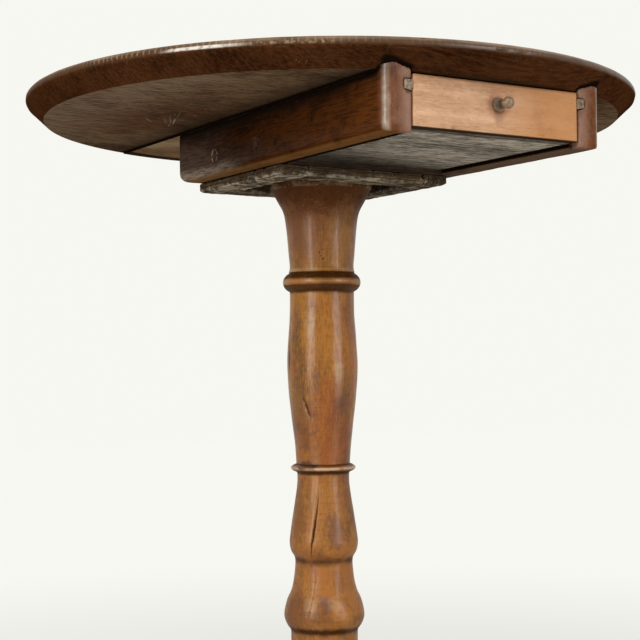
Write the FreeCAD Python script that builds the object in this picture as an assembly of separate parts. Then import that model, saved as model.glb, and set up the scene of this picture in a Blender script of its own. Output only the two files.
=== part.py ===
"""Round tavern table on a turned column, with one side-hung drawer under the top.

Millimetres, +Z up. The origin is on the floor under the middle of the round top.
The drawer opens toward -Y. Left is -X and right is +X, seen from the drawer side.
"""
import FreeCAD, Part
import math
import os

Vector = FreeCAD.Vector
UP = Vector(0, 0, 1)

# ---------------------------------------------------------------- driving dimensions
table_height = 755.0
top_diameter = 640.0
column_setback = 20.0          # column axis behind the middle of the top

# round top: three boards, the middle one a little thicker
centre_board_thickness = 27.0
side_board_step = 1.5          # side boards thinner than the middle one, on the underside
rim_band = 8.5                 # upright part of the rim above the bevel
rim_rounding = 4.0
bevel_width = 20.0
seam_gap = 0.8
seam_dowel_diameter = 9.0
seam_dowel_length = 44.0
seam_dowel_inset = 76.0        # outermost dowels from the ends of a seam
seam_dowels = 4

# case under the top: two bearers with a head block between them
drawer_opening = 188.0
bearer_thickness = 27.5
bearer_height = 53.0
bearer_rim_setback = 12.0      # front end of a bearer inside the rim, on its middle line
bearer_overhang_rear = 7.0     # bearers run on behind the head block
bearer_rounding = 8.0          # outer front and lower edges
bearer_rear_corner = 12.0
head_block_length = 186.0
peg_diameter = 8.0
peg_length = 46.0
peg_rise = 20.0                # pegs above the bottom of the bearers
peg_inset = 17.0               # first peg behind the front of the head block
peg_pitch = 91.0
bearer_screws = 3
screw_inset_front = 38.0       # first screw behind the front end of a bearer
screw_inset_rear = 107.0       # last screw ahead of the rear end of a bearer
screw_shank = 5.0
screw_head = 8.6
screw_counterbore = 9.4
screw_counterbore_depth = 16.0
screw_grip = 17.0              # length of screw held in the top
screw_head_height = 3.0

# drawer runner and the groove that it slides in
runner_height = 10.0
runner_reach = 7.4             # part of the runner that stands in the groove
runner_bevel = 2.0             # the underside of a runner rises toward its tip
runner_drop = 7.0              # top of the runner below the underside of the top
groove_clearance = 0.6

# frame of four strips under the head block, open round the head of the column
frame_thickness = 11.0
frame_lap = 8.0                # side strips reach this far under the bearers
head_side_clearance = 14.0     # head of the column to the side strips
head_end_clearance = 5.0       # head of the column to the front and rear strips
frame_edge_rounding = 4.0
end_nail_spread = 32.0         # nails of the front and rear strips from the middle
nail_peg_spacing = 15.0        # nails of the side strips along Y from the pegs
last_nail_inset = 32.0         # last nail of a side strip ahead of its rear end
nail_diameter = 2.6
nail_head = 5.6
nail_head_height = 1.2
frame_nail_length = 30.0

# column
head_radius = 56.0
head_rim_rise = 4.0            # widest line of the head above the underside of the frame
head_taper = 1.5               # head narrows by this much up to the bearers
neck_radius = 36.2             # neck above the drum
tenon_diameter = 40.0
tenon_top_gap = 1.5
wedge_width = 30.0
wedge_thickness = 5.0
wedge_point_thickness = 1.0
wedge_length = 26.0
turned_pattern_length = 504.0  # length that the turned outline below is drawn for
drum_top = 160.0
drum_bottom = 78.0
drum_radius = 45.0
drop_height = 14.0             # turned end below the drum
drop_radius = 29.0
drop_flat_radius = 13.5
drop_bulge = 2.2

# legs
leg_count = 3
leg_thickness = 30.0
leg_reach = 262.0              # column axis to the middle of a foot
leg_root_top = 152.0
leg_root_bottom = 84.0
foot_radius = 31.0
foot_thickness = 13.0
foot_rounding = 4.0
leg_edge_rounding = 5.0
dovetail_root = 14.0
dovetail_tip = 20.0
dovetail_depth = 13.0
dovetail_clearance = 0.1

# drawer
drawer_side_clearance = 1.5
drawer_top_clearance = 1.5
drawer_floor_clearance = 5.0   # drawer bottom above the frame
drawer_front_thickness = 18.0
drawer_lap = 10.0              # depth of the rebates at the ends of the front
drawer_side_thickness = 10.0
drawer_back_thickness = 10.0
drawer_bottom_thickness = 7.0
drawer_side_drop = 3.0         # sides lower than the top of the front
drawer_stop_gap = 0.5
knob_rise = 3.5                # knob above the middle of the front
knob_base_diameter = 13.0
knob_bead = 3.2                # thickness of the rounded bead at the base of the knob
knob_neck_diameter = 6.5
knob_ball_diameter = 11.0
knob_ball_reach = 14.5         # front face to the middle of the ball
knob_tenon_diameter = 7.0
knob_tenon_clearance = 0.1
pin_diameter = 2.0
side_pin_inset = 6.0           # pins of the sides from the bottom board and the runners
side_pin_grip = 8.0            # length of such a pin in the front or the back
bottom_pins_each_side = 4
bottom_pin_grip = 12.0         # length of such a pin in a side
runner_pins_each_side = 3
runner_pin_inset = 38.0        # outermost pins of a runner from the ends of the drawer
runner_pin_short = 2.0         # such a pin ends this far inside the drawer side

cutter_run = 1.0               # how far a cutting shape runs past the face that it cuts

# ---------------------------------------------------------------- places worked out
top_radius = top_diameter / 2
under_top = table_height - centre_board_thickness
bearer_inner = drawer_opening / 2
bearer_outer = bearer_inner + bearer_thickness
bearer_bottom = under_top - bearer_height
frame_bottom = bearer_bottom - frame_thickness
column_y = column_setback
block_front = column_y - head_block_length / 2
block_rear = column_y + head_block_length / 2
bearer_rear = block_rear + bearer_overhang_rear
bearer_middle = (bearer_inner + bearer_outer) / 2
bearer_front = -math.sqrt((top_radius - bearer_rim_setback) ** 2 - bearer_middle ** 2)
runner_top = under_top - runner_drop
runner_bottom = runner_top - runner_height
frame_x = bearer_inner + frame_lap
frame_hole_x = head_radius + head_side_clearance
frame_hole_y = head_radius + head_end_clearance
first_peg_y = block_front + peg_inset
second_peg_y = first_peg_y + peg_pitch

parts = {}


def add(name, *shapes):
    """Keep one named sub-part, as one solid or as a group of separate solids."""
    solids = [solid for shape in shapes for solid in shape.Solids]
    parts[name] = solids[0] if len(solids) == 1 else Part.makeCompound(solids)


def box(x_range, y_range, z_range):
    """Block between two X, two Y and two Z values."""
    low = Vector(min(x_range), min(y_range), min(z_range))
    high = Vector(max(x_range), max(y_range), max(z_range))
    size = high - low
    return Part.makeBox(size.x, size.y, size.z, low)


def rod(start, direction, length, diameter):
    """Round bar from a start point."""
    return Part.makeCylinder(diameter / 2, length, start, direction)


def mirror_x(shape):
    """The same shape on the other side of the table."""
    return shape.mirror(Vector(0, 0, 0), Vector(1, 0, 0))


def prism(points, direction):
    """Solid made by pushing a closed polygon along a direction."""
    outline = Part.makePolygon(points + [points[0]])
    return Part.Face(outline).extrude(direction)


def turned(edges, axis_point, axis):
    """Solid turned from a half outline that starts and ends on the axis."""
    outline = Part.Wire(Part.__sortEdges__(edges))
    return Part.makeSolid(Part.Face(outline).revolve(axis_point, axis, 360))


def line(start, end):
    return Part.LineSegment(start, end).toShape()


def arc(start, middle, end):
    return Part.Arc(start, middle, end).toShape()


def smooth(points):
    curve = Part.BSplineCurve()
    curve.interpolate(points)
    return curve.toShape()


def edges_along(shape, direction, wanted):
    """Straight edges of a shape that run along a direction and pass a test on their middle."""
    found = []
    for edge in shape.Edges:
        if not isinstance(edge.Curve, Part.Line):
            continue
        middle = edge.valueAt((edge.FirstParameter + edge.LastParameter) / 2)
        if abs(edge.Curve.Direction.dot(direction)) > 0.999 and wanted(middle):
            found.append(edge)
    return found


def near(value, target):
    return abs(value - target) < 0.01


# ---------------------------------------------------------------- round top
def top_disc():
    """Whole round top before it is cut into boards: rounded rim, bevelled underside."""
    bulge = rim_rounding * math.sqrt(0.5)
    centre_r = top_radius - rim_rounding
    centre_z = table_height - rim_rounding
    under_middle = Vector(0, 0, under_top)
    bevel_foot = Vector(top_radius - bevel_width, 0, under_top)
    bevel_end = Vector(top_radius, 0, table_height - rim_band)
    band_end = Vector(top_radius, 0, centre_z)
    shoulder = Vector(centre_r + bulge, 0, centre_z + bulge)
    flat_edge = Vector(centre_r, 0, table_height)
    top_middle = Vector(0, 0, table_height)
    edges = [
        line(under_middle, bevel_foot),
        line(bevel_foot, bevel_end),
        line(bevel_end, band_end),
        arc(band_end, shoulder, flat_edge),
        line(flat_edge, top_middle),
        line(top_middle, under_middle),
    ]
    return turned(edges, Vector(0, 0, 0), UP)


disc = top_disc()
beyond = top_radius + cutter_run
full_height = (under_top - cutter_run, table_height + cutter_run)
whole_length = (-beyond, beyond)
seam_x = bearer_outer
side_under = under_top + side_board_step
dowel_reach = math.sqrt(top_radius ** 2 - seam_x ** 2) - seam_dowel_inset
dowel_pitch = 2 * dowel_reach / (seam_dowels - 1)
dowel_x = seam_x - seam_dowel_length / 2
dowel_z = (side_under + table_height) / 2

dowels = []
for number in range(seam_dowels):
    place = Vector(dowel_x, -dowel_reach + number * dowel_pitch, dowel_z)
    dowels.append(rod(place, Vector(1, 0, 0), seam_dowel_length, seam_dowel_diameter))
dowels_right = Part.makeCompound(dowels)
dowels_left = mirror_x(dowels_right)


first_screw_y = bearer_front + screw_inset_front
last_screw_y = bearer_rear - screw_inset_rear
screw_pitch = (last_screw_y - first_screw_y) / (bearer_screws - 1)

screws = []
screw_bores = []
for number in range(bearer_screws):
    mouth = Vector(bearer_middle, first_screw_y + number * screw_pitch, bearer_bottom)
    seat = mouth + UP * screw_counterbore_depth
    shank_length = bearer_height - screw_counterbore_depth + screw_grip
    shank = rod(seat, UP, shank_length, screw_shank)
    head = rod(seat, UP, screw_head_height, screw_head)
    screws.append(head.translated(UP * -screw_head_height).fuse(shank).removeSplitter())
    screw_bores.append(rod(mouth, UP, screw_counterbore_depth, screw_counterbore))
    screw_bores.append(rod(mouth, UP, screw_counterbore_depth + shank_length, screw_shank))
bores_right = Part.makeCompound(screw_bores)
bores_left = mirror_x(bores_right)

centre_board = disc.common(box((-seam_x, seam_x), whole_length, full_height))
centre_board = centre_board.cut([dowels_right, dowels_left, bores_right, bores_left])
add("top_board_centre", centre_board)

side_height = (side_under, table_height + cutter_run)
side_slice = box((seam_x + seam_gap, beyond), whole_length, side_height)
board_right = disc.common(side_slice).cut(dowels_right)
add("top_board_right", board_right)
add("top_board_left", mirror_x(board_right))
add("top_seam_dowels", dowels_right, dowels_left)
add("bearer_screws", *(screws + [mirror_x(screw) for screw in screws]))


# ---------------------------------------------------------------- bearers and head block
def runner_outline(y, grow):
    """Section of the right-hand drawer runner, grown all round for its groove."""
    root = bearer_inner - drawer_side_clearance
    tip = bearer_inner + runner_reach + grow
    return [
        Vector(root, y, runner_top + grow),
        Vector(tip, y, runner_top + grow),
        Vector(tip, y, runner_bottom + runner_bevel - grow),
        Vector(root, y, runner_bottom - grow),
    ]


pegs = []
for peg_y in (first_peg_y, second_peg_y):
    start = Vector(bearer_outer, peg_y, bearer_bottom + peg_rise)
    pegs.append(rod(start, Vector(-1, 0, 0), peg_length, peg_diameter))
pegs_right = Part.makeCompound(pegs)
pegs_left = mirror_x(pegs_right)


def right_bearer():
    """Bearer scribed up to the bevel of the top at its front end, grooved for the runner."""
    x_range = (bearer_inner, bearer_outer)
    bar = box(x_range, (bearer_front, bearer_rear), (bearer_bottom, table_height - rim_band))
    lower = edges_along(bar, Vector(0, 1, 0),
                        lambda m: near(m.x, bearer_outer) and near(m.z, bearer_bottom))
    front = edges_along(bar, UP, lambda m: near(m.x, bearer_outer) and near(m.y, bearer_front))
    bar = bar.makeFillet(bearer_rounding, lower + front)
    bend_y = bearer_rear - bearer_rear_corner
    bend_z = bearer_bottom + bearer_rear_corner
    corner = box((bearer_inner - cutter_run, bearer_outer + cutter_run),
                 (bend_y, bearer_rear + cutter_run), (bearer_bottom - cutter_run, bend_z))
    keep = rod(Vector(bearer_inner - cutter_run, bend_y, bend_z), Vector(1, 0, 0),
               bearer_thickness + 2 * cutter_run, 2 * bearer_rear_corner)
    bar = bar.cut(corner.cut(keep)).cut(disc)
    groove_front = bearer_front - cutter_run
    groove_run = Vector(0, block_front - groove_front, 0)
    groove = prism(runner_outline(groove_front, groove_clearance), groove_run)
    bar = bar.cut([groove, bores_right, pegs_right])
    return bar.removeSplitter()


bearer_right = right_bearer()
add("bearer_right", bearer_right)
add("bearer_left", mirror_x(bearer_right))
add("block_pegs", pegs_right, pegs_left)

tenon_top = under_top - tenon_top_gap
tenon_hole = rod(Vector(0, column_y, bearer_bottom), UP, bearer_height, tenon_diameter)


def wedge_shape():
    """Wedge driven into the top of the column's tenon."""
    half = wedge_thickness / 2
    half_point = wedge_point_thickness / 2
    foot = tenon_top - wedge_length
    side = -wedge_width / 2
    points = [
        Vector(side, column_y - half, tenon_top),
        Vector(side, column_y + half, tenon_top),
        Vector(side, column_y + half_point, foot),
        Vector(side, column_y - half_point, foot),
    ]
    return prism(points, Vector(wedge_width, 0, 0))


wedge = wedge_shape()
add("column_wedge", wedge)

# ---------------------------------------------------------------- frame under the block
frame_z = (frame_bottom, bearer_bottom)
front_strip_y = (block_front, column_y - frame_hole_y)
rear_strip_y = (column_y + frame_hole_y, block_rear)


def frame_nail(x, y):
    """Nail driven up through a strip, its head level with the underside."""
    point = Vector(x, y, frame_bottom)
    head = rod(point, UP, nail_head_height, nail_head)
    return head.fuse(rod(point, UP, frame_nail_length, nail_diameter)).removeSplitter()


side_nail_x = (frame_hole_x + bearer_inner) / 2
side_nail_places = (
    first_peg_y + nail_peg_spacing,
    second_peg_y - nail_peg_spacing,
    block_rear - last_nail_inset,
)
frame_nails = []
for side in (-1, 1):
    for y in side_nail_places:
        frame_nails.append(frame_nail(side * side_nail_x, y))
    for y_range in (front_strip_y, rear_strip_y):
        frame_nails.append(frame_nail(side * end_nail_spread, sum(y_range) / 2))
nails = Part.makeCompound(frame_nails)
add("frame_nails", nails)


def side_strip():
    """Right-hand strip, which runs the full length of the frame."""
    strip = box((frame_hole_x, frame_x), (block_front, block_rear), frame_z)
    outer = edges_along(strip, Vector(0, 1, 0),
                        lambda m: near(m.x, frame_x) and near(m.z, frame_bottom))
    ends = edges_along(strip, UP, lambda m: near(m.x, frame_x))
    return strip.makeFillet(frame_edge_rounding, outer + ends)


def end_strip(y_range, y_outer):
    """Strip that fits between the two side strips."""
    strip = box((-frame_hole_x, frame_hole_x), y_range, frame_z)
    outer = edges_along(strip, Vector(1, 0, 0),
                        lambda m: near(m.y, y_outer) and near(m.z, frame_bottom))
    return strip.makeFillet(frame_edge_rounding, outer)


strip_right = side_strip()
add("frame_strip_right", strip_right.cut(nails))
add("frame_strip_left", mirror_x(strip_right).cut(nails))
add("frame_strip_front", end_strip(front_strip_y, block_front).cut(nails))
add("frame_strip_rear", end_strip(rear_strip_y, block_rear).cut(nails))

block = box((-bearer_inner, bearer_inner), (block_front, block_rear), (bearer_bottom, under_top))
block = block.cut([tenon_hole, pegs_right, pegs_left, nails])
add("head_block", block)


# ---------------------------------------------------------------- column
def column_point(station, radius):
    """Point of the turned outline: station is the way down from the frame on the pattern."""
    turned_length = frame_bottom - drum_top
    drop = station * turned_length / turned_pattern_length
    return Vector(radius, 0, frame_bottom - drop)


def outline(*pairs):
    return [column_point(station, radius) for station, radius in pairs]


def column_edges():
    """Half outline of the column, top to bottom, as lines, arcs and smooth runs."""
    tenon_radius = tenon_diameter / 2
    head_top = Vector(head_radius - head_taper, 0, bearer_bottom)
    tenon_foot = Vector(tenon_radius, 0, bearer_bottom)
    tenon_head = Vector(tenon_radius, 0, tenon_top)
    on_axis_top = Vector(0, 0, tenon_top)
    head_rim = Vector(head_radius, 0, frame_bottom + head_rim_rise)
    trumpet = outline((0.0, head_radius - head_taper), (13.0, 47.5), (26.0, 41.2),
                      (44.0, 38.2), (70.0, 36.0), (91.0, 34.6))
    collar = outline((93.0, 38.6), (100.5, 42.2), (108.0, 38.6))
    long_vase = outline((110.0, 35.2), (136.0, 35.3), (164.0, 37.2), (191.0, 38.4),
                        (222.0, 36.6), (254.0, 33.0), (276.0, 30.5), (293.0, 29.2))
    thin_ring = outline((295.0, 32.0), (299.5, 34.4), (304.0, 32.0))
    short_vase = outline((306.0, 28.2), (318.0, 28.6), (344.0, 32.4), (370.0, 36.3),
                         (379.5, 37.3), (388.0, 35.8))
    ball_rise = outline((397.5, 31.0), (415.0, 32.4), (430.0, 35.4), (441.0, 40.2))
    ball = outline((441.0, 40.2), (455.5, 43.6), (467.0, 40.2))
    neck = outline((472.0, neck_radius), (490.0, neck_radius))
    cove = outline((490.0, neck_radius), (500.0, neck_radius + 3.0), (504.0, drum_radius))
    drum_low = Vector(drum_radius, 0, drum_bottom)
    drop_rim = Vector(drop_radius, 0, drum_bottom)
    drop_foot = Vector(drop_flat_radius, 0, drum_bottom - drop_height)
    drop_side = (drop_rim + drop_foot) * 0.5 + Vector(drop_bulge, 0, -drop_bulge)
    on_axis_foot = Vector(0, 0, drum_bottom - drop_height)
    return [
        line(on_axis_foot, on_axis_top),
        line(on_axis_top, tenon_head),
        line(tenon_head, tenon_foot),
        line(tenon_foot, head_top),
        line(head_top, head_rim),
        line(head_rim, trumpet[0]),
        smooth(trumpet),
        line(trumpet[-1], collar[0]),
        arc(*collar),
        line(collar[-1], long_vase[0]),
        smooth(long_vase),
        line(long_vase[-1], thin_ring[0]),
        arc(*thin_ring),
        line(thin_ring[-1], short_vase[0]),
        smooth(short_vase),
        line(short_vase[-1], ball_rise[0]),
        smooth(ball_rise),
        arc(*ball),
        line(ball[-1], neck[0]),
        line(neck[0], neck[-1]),
        smooth(cove),
        line(cove[-1], drum_low),
        line(drum_low, drop_rim),
        arc(drop_rim, drop_side, drop_foot),
        line(drop_foot, on_axis_foot),
    ]


def dovetail(grow):
    """Tongue of the leg that points along +X, grown all round for its socket."""
    root = dovetail_root / 2 + grow
    tip = dovetail_tip / 2 + grow
    inner = drum_radius - dovetail_depth - grow
    outer = drum_radius + cutter_run
    z_low = drum_bottom - cutter_run if grow else leg_root_bottom
    points = [
        Vector(inner, -tip, z_low),
        Vector(inner, tip, z_low),
        Vector(outer, root, z_low),
        Vector(outer, -root, z_low),
    ]
    return prism(points, UP * (leg_root_top + grow - z_low))


def turn_to(shape, number):
    """Turn a leg from +X to its own direction and set it under the column."""
    angle = -90 + number * 360.0 / leg_count
    turned_shape = shape.copy()
    turned_shape.rotate(Vector(0, 0, 0), UP, angle)
    turned_shape.translate(Vector(0, column_y, 0))
    return turned_shape


column = turned(column_edges(), Vector(0, 0, 0), UP).translated(Vector(0, column_y, 0))
sockets = [turn_to(dovetail(dovetail_clearance), number) for number in range(leg_count)]
column = column.cut(sockets + [wedge])
add("column", column)


# ---------------------------------------------------------------- legs
def leg():
    """Snake-shaped leg along +X: sawn from a board, its pad foot in one piece with it."""
    half = leg_thickness / 2
    root = drum_radius - 4
    toe = leg_reach + foot_radius * 0.55
    upper = [
        Vector(root, 0, leg_root_top),
        Vector(root + 40, 0, leg_root_top - 6),
        Vector(leg_reach * 0.47, 0, leg_root_top * 0.70),
        Vector(leg_reach * 0.72, 0, leg_root_top * 0.33),
        Vector(leg_reach * 0.90, 0, foot_thickness + 8),
        Vector(toe, 0, foot_thickness - 3),
    ]
    lower = [
        Vector(leg_reach - foot_radius * 0.7, 0, foot_thickness * 0.4),
        Vector(leg_reach * 0.73, 0, foot_thickness + 8),
        Vector(leg_reach * 0.50, 0, leg_root_bottom * 0.60),
        Vector(root + 30, 0, leg_root_bottom * 0.92),
        Vector(root, 0, leg_root_bottom),
    ]
    edges = [
        smooth(upper),
        line(upper[-1], lower[0]),
        smooth(lower),
        line(lower[-1], upper[0]),
    ]
    face = Part.Face(Part.Wire(Part.__sortEdges__(edges)))
    blade = face.translated(Vector(0, -half, 0)).extrude(Vector(0, leg_thickness, 0))
    long_edges = [edge for edge in blade.Edges if isinstance(edge.Curve, Part.BSplineCurve)]
    blade = blade.makeFillet(leg_edge_rounding, long_edges)
    pad = rod(Vector(leg_reach, 0, 0), UP, foot_thickness, 2 * foot_radius)
    rims = [edge for edge in pad.Edges if isinstance(edge.Curve, Part.Circle)]
    pad = pad.makeFillet(foot_rounding, rims)
    shoulder_foot = Vector(0, 0, drum_bottom - drop_height)
    shoulder = rod(shoulder_foot, UP, table_height, 2 * (drum_radius + dovetail_clearance))
    return blade.fuse(pad).cut(shoulder).fuse(dovetail(0)).removeSplitter()


leg_shape = leg()
leg_names = ("leg_front", "leg_rear_right", "leg_rear_left")
for number, name in enumerate(leg_names[:leg_count]):
    add(name, turn_to(leg_shape, number))

# ---------------------------------------------------------------- drawer
drawer_half = bearer_inner - drawer_side_clearance
drawer_front = bearer_front
drawer_rear = block_front - drawer_stop_gap
front_back = drawer_front + drawer_front_thickness
front_top = under_top - drawer_top_clearance
drawer_low = bearer_bottom + drawer_floor_clearance
floor_top = drawer_low + drawer_bottom_thickness
side_top = front_top - drawer_side_drop
side_inner = drawer_half - drawer_side_thickness
lap_y = front_back - drawer_lap
knob_z = (drawer_low + front_top) / 2 + knob_rise


def knob():
    """Turned knob with its tenon, along -Y from the drawer front."""
    base = knob_base_diameter / 2
    neck = knob_neck_diameter / 2
    ball = knob_ball_diameter / 2
    tenon = knob_tenon_diameter / 2
    bead = knob_bead / 2
    face_y = drawer_front
    ball_y = face_y - knob_ball_reach
    neck_y = ball_y + math.sqrt(ball ** 2 - neck ** 2)

    def point(radius, y):
        return Vector(radius, y, knob_z)

    bead_foot = point(base - bead, face_y)
    bead_side = point(base, face_y - bead)
    bead_end = point(base - bead, face_y - knob_bead)
    neck_waist = point(neck + 0.4, (face_y - knob_bead + neck_y) / 2)
    neck_end = point(neck, neck_y)
    ball_tip = point(0, ball_y - ball)
    edges = [
        line(point(0, front_back), point(tenon, front_back)),
        line(point(tenon, front_back), point(tenon, face_y)),
        line(point(tenon, face_y), bead_foot),
        arc(bead_foot, bead_side, bead_end),
        arc(bead_end, neck_waist, neck_end),
        arc(neck_end, point(ball, ball_y), ball_tip),
        line(ball_tip, point(0, front_back)),
    ]
    return turned(edges, Vector(0, 0, knob_z), Vector(0, 1, 0))


knob_hole = rod(Vector(0, front_back, knob_z), Vector(0, -1, 0), drawer_front_thickness,
                knob_tenon_diameter + knob_tenon_clearance)

side_pin_length = drawer_side_thickness + side_pin_grip
side_pins = []
for side in (-1, 1):
    for y in (lap_y + drawer_lap / 2, drawer_rear - drawer_back_thickness / 2):
        for z in (floor_top + side_pin_inset, runner_bottom - side_pin_inset):
            start = Vector(side * drawer_half, y, z)
            side_pins.append(rod(start, Vector(-side, 0, 0), side_pin_length, pin_diameter))
side_pins_all = Part.makeCompound(side_pins)

bottom_pin_x = drawer_half - drawer_side_thickness / 2
bottom_pin_length = drawer_bottom_thickness + bottom_pin_grip
bottom_pin_start = front_back + drawer_back_thickness
bottom_pin_end = drawer_rear - drawer_back_thickness
bottom_pin_pitch = (bottom_pin_end - bottom_pin_start) / (bottom_pins_each_side - 1)
bottom_pins = []
for side in (-1, 1):
    for number in range(bottom_pins_each_side):
        y = bottom_pin_start + number * bottom_pin_pitch
        start = Vector(side * bottom_pin_x, y, drawer_low)
        bottom_pins.append(rod(start, UP, bottom_pin_length, pin_diameter))
bottom_pins_all = Part.makeCompound(bottom_pins)

runner_tip_x = bearer_inner + runner_reach
runner_pin_z = (runner_top + runner_bottom + runner_bevel) / 2
runner_pin_length = runner_tip_x - side_inner - runner_pin_short
runner_pin_start = front_back + runner_pin_inset
runner_pin_end = drawer_rear - runner_pin_inset
runner_pin_pitch = (runner_pin_end - runner_pin_start) / (runner_pins_each_side - 1)
runner_pins = []
for side in (-1, 1):
    for number in range(runner_pins_each_side):
        y = runner_pin_start + number * runner_pin_pitch
        start = Vector(side * runner_tip_x, y, runner_pin_z)
        runner_pins.append(rod(start, Vector(-side, 0, 0), runner_pin_length, pin_diameter))
runner_pins_all = Part.makeCompound(runner_pins)

front_board = box((-drawer_half, drawer_half), (drawer_front, front_back), (drawer_low, front_top))
for side in (-1, 1):
    rebate = box((side * side_inner, side * (drawer_half + cutter_run)),
                 (lap_y, front_back + cutter_run), (drawer_low - cutter_run, side_top))
    front_board = front_board.cut(rebate)
floor_rebate = box((-drawer_half - cutter_run, drawer_half + cutter_run),
                   (lap_y, front_back + cutter_run), (drawer_low - cutter_run, floor_top))
front_board = front_board.cut([floor_rebate, knob_hole, side_pins_all]).removeSplitter()
add("drawer_front", front_board)

side_board = box((side_inner, drawer_half), (lap_y, drawer_rear), (floor_top, side_top))
side_cuts = [side_pins_all, bottom_pins_all, runner_pins_all]
add("drawer_side_right", side_board.cut(side_cuts))
add("drawer_side_left", mirror_x(side_board).cut(side_cuts))

back_y = (drawer_rear - drawer_back_thickness, drawer_rear)
back_board = box((-side_inner, side_inner), back_y, (floor_top, side_top - drawer_side_drop))
add("drawer_back", back_board.cut(side_pins_all))

floor_board = box((-drawer_half, drawer_half), (lap_y, drawer_rear), (drawer_low, floor_top))
add("drawer_bottom", floor_board.cut(bottom_pins_all))

runner_length = drawer_rear - drawer_front
runner = prism(runner_outline(drawer_front, 0), Vector(0, runner_length, 0))
add("drawer_runner_right", runner.cut(runner_pins_all))
add("drawer_runner_left", mirror_x(runner).cut(runner_pins_all))

add("drawer_knob", knob())
add("drawer_side_pins", *side_pins)
add("drawer_bottom_pins", *bottom_pins)
add("drawer_runner_pins", *runner_pins)

# ---------------------------------------------------------------- files
os.makedirs("parts", exist_ok=True)
for name, shape in parts.items():
    if not shape.isValid():
        raise ValueError(name + " is not a valid solid")
    shape.exportStep("parts/" + name + ".step")
print(len(parts), "sub-parts written")
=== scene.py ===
"""Round tavern table: turned column on three snake legs, two bearers, a three-board top and one drawer."""
import math

import bmesh
import bpy
from mathutils import Matrix, Vector, noise
from mathutils.geometry import interpolate_bezier


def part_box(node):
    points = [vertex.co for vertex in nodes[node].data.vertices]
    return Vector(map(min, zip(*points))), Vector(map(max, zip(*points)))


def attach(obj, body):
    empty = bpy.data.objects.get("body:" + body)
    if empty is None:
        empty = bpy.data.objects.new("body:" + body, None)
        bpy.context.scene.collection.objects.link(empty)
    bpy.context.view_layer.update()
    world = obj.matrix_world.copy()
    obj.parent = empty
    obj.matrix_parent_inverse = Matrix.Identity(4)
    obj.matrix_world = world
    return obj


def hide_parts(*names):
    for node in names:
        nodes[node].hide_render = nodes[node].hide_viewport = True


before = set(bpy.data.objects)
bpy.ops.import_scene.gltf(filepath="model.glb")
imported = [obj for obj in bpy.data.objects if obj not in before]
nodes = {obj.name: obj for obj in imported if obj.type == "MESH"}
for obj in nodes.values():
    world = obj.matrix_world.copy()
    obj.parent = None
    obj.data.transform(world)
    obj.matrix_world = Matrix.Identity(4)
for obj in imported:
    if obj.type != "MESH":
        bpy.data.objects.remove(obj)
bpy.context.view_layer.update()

# ------------------------------------------------------------------ column
# One long turning of fruitwood under old varnish: a spreading head, a collar, two vases with a
# thin ring between them, a ball, and a plain drum that holds the legs. Its tenon goes up into
# the head block. It has long drying cracks; dirt and painted shade lie in every turned groove,
# and the crowns are rubbed pale and carry painted highlights.
column_y = 0.02
column_steps = 208
tenon_side = 0.015
head_top = 0.6745


class Bench:
    """A node tree, with short ways to make the masks that finishes are built from."""

    def __init__(self, tree):
        self.tree = tree

    def put(self, kind, feeds=None, **settings):
        """Add a shader node, set it up, and feed its inputs with values or with other nodes' outputs."""
        node = self.tree.nodes.new("ShaderNode" + kind)
        for name, value in settings.items():
            setattr(node, name, value)
        for key, value in (feeds or {}).items():
            if isinstance(value, bpy.types.NodeSocket):
                self.tree.links.new(value, node.inputs[key])
            else:
                node.inputs[key].default_value = value
        return node

    def calc(self, operation, first, second=0.0, third=0.0, clamp=False):
        """One step of arithmetic on masks."""
        feeds = {0: first, 1: second, 2: third}
        return self.put("Math", feeds, operation=operation, use_clamp=clamp).outputs[0]

    def mask(self, *factors):
        """Several masks multiplied together."""
        result = factors[0]
        for factor in factors[1:]:
            result = self.calc("MULTIPLY", result, factor)
        return result

    def most(self, result, *others):
        """The strongest of several masks."""
        for other in others:
            result = self.calc("MAXIMUM", result, other)
        return result

    def step(self, value, low, high, start=0.0, end=1.0):
        """A soft step of a mask from start to end as a value goes from low to high."""
        feeds = {"Value": value, "From Min": low, "From Max": high, "To Min": start, "To Max": end}
        return self.put("MapRange", feeds, interpolation_type="SMOOTHSTEP").outputs[0]

    def between(self, value, low, full_low, full_high, high):
        """A mask that rises from low, is full in the middle and is gone at high."""
        return self.mask(self.step(value, low, full_low), self.step(value, high, full_high))

    def vector(self, operation, first, *others):
        """The outputs of one step of arithmetic on places."""
        return self.put("VectorMath", dict(enumerate((first, *others))), operation=operation).outputs

    def scaled(self, factors, place=None):
        """Object coordinates, squeezed or drawn out."""
        return self.vector("MULTIPLY", self.place if place is None else place, factors)[0]

    def away(self, point):
        """Distance from a point of the piece."""
        return self.vector("DISTANCE", self.place, point)["Value"]

    def clouds(self, scale, detail=3.0, roughness=0.55, place=None):
        """Uneven cloudy value between about 0.3 and 0.7."""
        feeds = {"Vector": self.place if place is None else place, "Scale": scale, "Detail": detail,
                 "Roughness": roughness}
        return self.put("TexNoise", feeds).outputs[0]

    def patches(self, scale, low, high, detail=3.0, roughness=0.55, start=0.0, place=None):
        """Clouds cut to patches with soft borders."""
        return self.step(self.clouds(scale, detail, roughness, place), low, high, start)

    def ragged(self, value, amount, *clouds):
        """A value made uneven by clouds, so that its steps get ragged borders."""
        uneven = self.calc("MULTIPLY_ADD", self.clouds(*clouds), amount, -amount / 2)
        return self.calc("ADD", value, uneven)


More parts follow.
